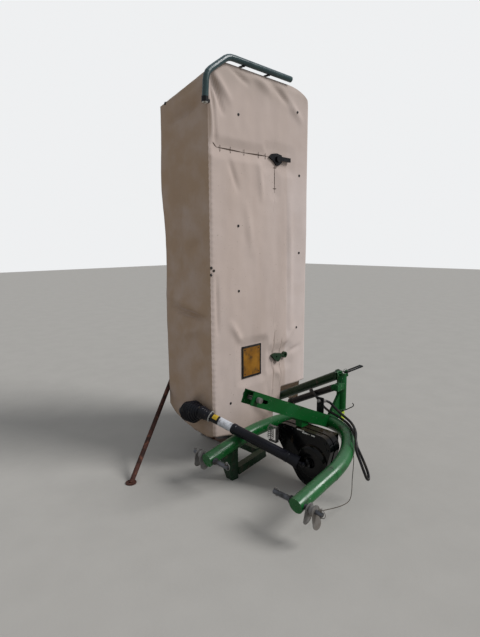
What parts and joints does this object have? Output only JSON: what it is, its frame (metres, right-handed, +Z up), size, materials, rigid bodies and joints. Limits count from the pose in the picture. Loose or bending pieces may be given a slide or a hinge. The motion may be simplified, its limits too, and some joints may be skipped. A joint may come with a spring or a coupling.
{
  "type": "rear disc mower, folded upright under a canvas cover",
  "caption": "Three-point rear disc mower parked with its cutterbar folded upright inside a tall canvas hood, with a tubular headstock, belt drive, drive shaft and prop.",
  "frame": {"origin": "middle of the base of the machine's bounding box, without the hose and cord, on the ground", "axes": "+X forward to the tractor, +Y to the machine's left, +Z up"},
  "size_m": [1.85, 1.9924, 3.221],
  "materials": {
    "green_paint": "semi-gloss green paint, chipped",
    "cast_green": "green paint on a cast housing",
    "black_paint": "dull black paint",
    "casing_plastic": "black moulded casing",
    "bare_steel": "bare machined steel",
    "zinc_steel": "zinc-plated steel",
    "yellow_reflector": "yellow reflector",
    "hose_rubber": "black rubber",
    "cord_fabric": "soiled braided cord",
    "rod_chrome": "chromed rod",
    "red_paint": "worn red paint",
    "wear_steel": "worn wear plate",
    "canvas": "faded coated canvas",
    "plate_yellow": "blank yellow-orange plate",
    "rusty_paint": "dark paint with rust",
    "guard_plastic": "black guard tube"
  },
  "bodies": {
    "headstock": {"hitch_bow": "green_paint", "link_pin_left": "bare_steel", "link_pin_right": "bare_steel", "catch_guide_left": "zinc_steel", "catch_guide_right": "zinc_steel", "mast_arm": "green_paint", "mast_pin": "zinc_steel", "parking_foot": "green_paint", "low_beam": "green_paint", "cross_arm": "green_paint", "rear_post": "green_paint", "carrier_tube": "black_paint", "transport_link": "black_paint", "reflector": "yellow_reflector", "belt_casing": "casing_plastic", "input_stub": "bare_steel", "tensioner_spring": "zinc_steel", "hose_holder": "black_paint", "hydraulic_hose": "hose_rubber", "hose_coupling": "zinc_steel", "pull_cord": "cord_fabric"},
    "cutterbar": {"hinge_frame": "green_paint", "inner_gearbox": "cast_green", "cutter_beam": "red_paint", "bar_skids": "wear_steel", "inner_shoe": "wear_steel", "outer_shoe": "green_paint", "hood_frame": "green_paint", "canvas_cover": "canvas", "guard_rail": "black_paint", "blank_plate": "plate_yellow", "latch_ear": "green_paint", "strap_toggle": "hose_rubber", "prop_bracket": "green_paint"},
    "disc_1": {"disc_1": "red_paint"},
    "disc_2": {"disc_2": "red_paint"},
    "disc_3": {"disc_3": "red_paint"},
    "disc_4": {"disc_4": "red_paint"},
    "disc_5": {"disc_5": "red_paint"},
    "disc_6": {"disc_6": "red_paint"},
    "fold_barrel": {"cylinder_barrel": "black_paint"},
    "fold_rod": {"cylinder_rod": "rod_chrome"},
    "prop_leg": {"prop_bar": "rusty_paint"},
    "shaft_inner": {"shaft_inner_tube": "guard_plastic"},
    "shaft_outer": {"shaft_outer_tube": "guard_plastic"},
    "shaft_yoke": {"shaft_yoke": "bare_steel"}
  },
  "joints": [
    {"name": "cutterbar_fold", "type": "hinge", "parent": "headstock", "child": "cutterbar", "pos_m": [-0.178, -0.34584, 0.37], "axis": [1, 0, 0], "range_deg": [0, 92]},
    {"name": "fold_cylinder_tilt", "type": "hinge", "parent": "headstock", "child": "fold_barrel", "pos_m": [-0.506, 0.39416, 0.665], "axis": [1, 0, 0], "range_deg": [0, 3.03]},
    {"name": "fold_cylinder_slide", "type": "slide", "parent": "fold_barrel", "child": "fold_rod", "axis": [0, -0.8865, -0.4628], "range_m": [-0.1745, 0]},
    {"name": "disc_spin_1", "type": "hinge", "parent": "cutterbar", "child": "disc_1", "pos_m": [-0.178, -0.74384, 0.65], "axis": [0, 1, 0], "continuous": true},
    {"name": "disc_spin_2", "type": "hinge", "parent": "cutterbar", "child": "disc_2", "pos_m": [-0.178, -0.74384, 1.05], "axis": [0, 1, 0], "continuous": true},
    {"name": "disc_spin_3", "type": "hinge", "parent": "cutterbar", "child": "disc_3", "pos_m": [-0.178, -0.74384, 1.45], "axis": [0, 1, 0], "continuous": true},
    {"name": "disc_spin_4", "type": "hinge", "parent": "cutterbar", "child": "disc_4", "pos_m": [-0.178, -0.74384, 1.85], "axis": [0, 1, 0], "continuous": true},
    {"name": "disc_spin_5", "type": "hinge", "parent": "cutterbar", "child": "disc_5", "pos_m": [-0.178, -0.74384, 2.25], "axis": [0, 1, 0], "continuous": true},
    {"name": "disc_spin_6", "type": "hinge", "parent": "cutterbar", "child": "disc_6", "pos_m": [-0.178, -0.74384, 2.65], "axis": [0, 1, 0], "continuous": true},
    {"name": "prop_swing", "type": "hinge", "parent": "cutterbar", "child": "prop_leg", "pos_m": [0.134, -0.93884, 0.669], "axis": [0.4882, -0.8727, 0], "range_deg": [0, 75]},
    {"name": "shaft_swing", "type": "hinge", "parent": "headstock", "child": "shaft_inner", "pos_m": [0.042, 0.49616, 0.216], "axis": [-0.1425, 0.2785, 0.9498], "range_deg": [0, 70]},
    {"name": "shaft_telescope", "type": "slide", "parent": "shaft_inner", "child": "shaft_outer", "axis": [0.3431, -0.8862, 0.3113], "range_m": [0, 0.2]},
    {"name": "shaft_yoke_spin", "type": "hinge", "parent": "shaft_outer", "child": "shaft_yoke", "pos_m": [0.35629, -0.4313, 0.46542], "axis": [0.0819, -0.9831, -0.1638], "continuous": true}
  ],
  "couplings": [
    {"joint": "fold_cylinder_slide", "follows": "cutterbar_fold", "m_per_rad": -0.1076},
    {"joint": "fold_cylinder_tilt", "follows": "cutterbar_fold", "ratio": 0.0323},
    {"joint": "disc_spin_2", "follows": "disc_spin_1", "ratio": -1},
    {"joint": "disc_spin_3", "follows": "disc_spin_1", "ratio": 1},
    {"joint": "disc_spin_4", "follows": "disc_spin_1", "ratio": -1},
    {"joint": "disc_spin_5", "follows": "disc_spin_1", "ratio": 1},
    {"joint": "disc_spin_6", "follows": "disc_spin_1", "ratio": -1}
  ]
}
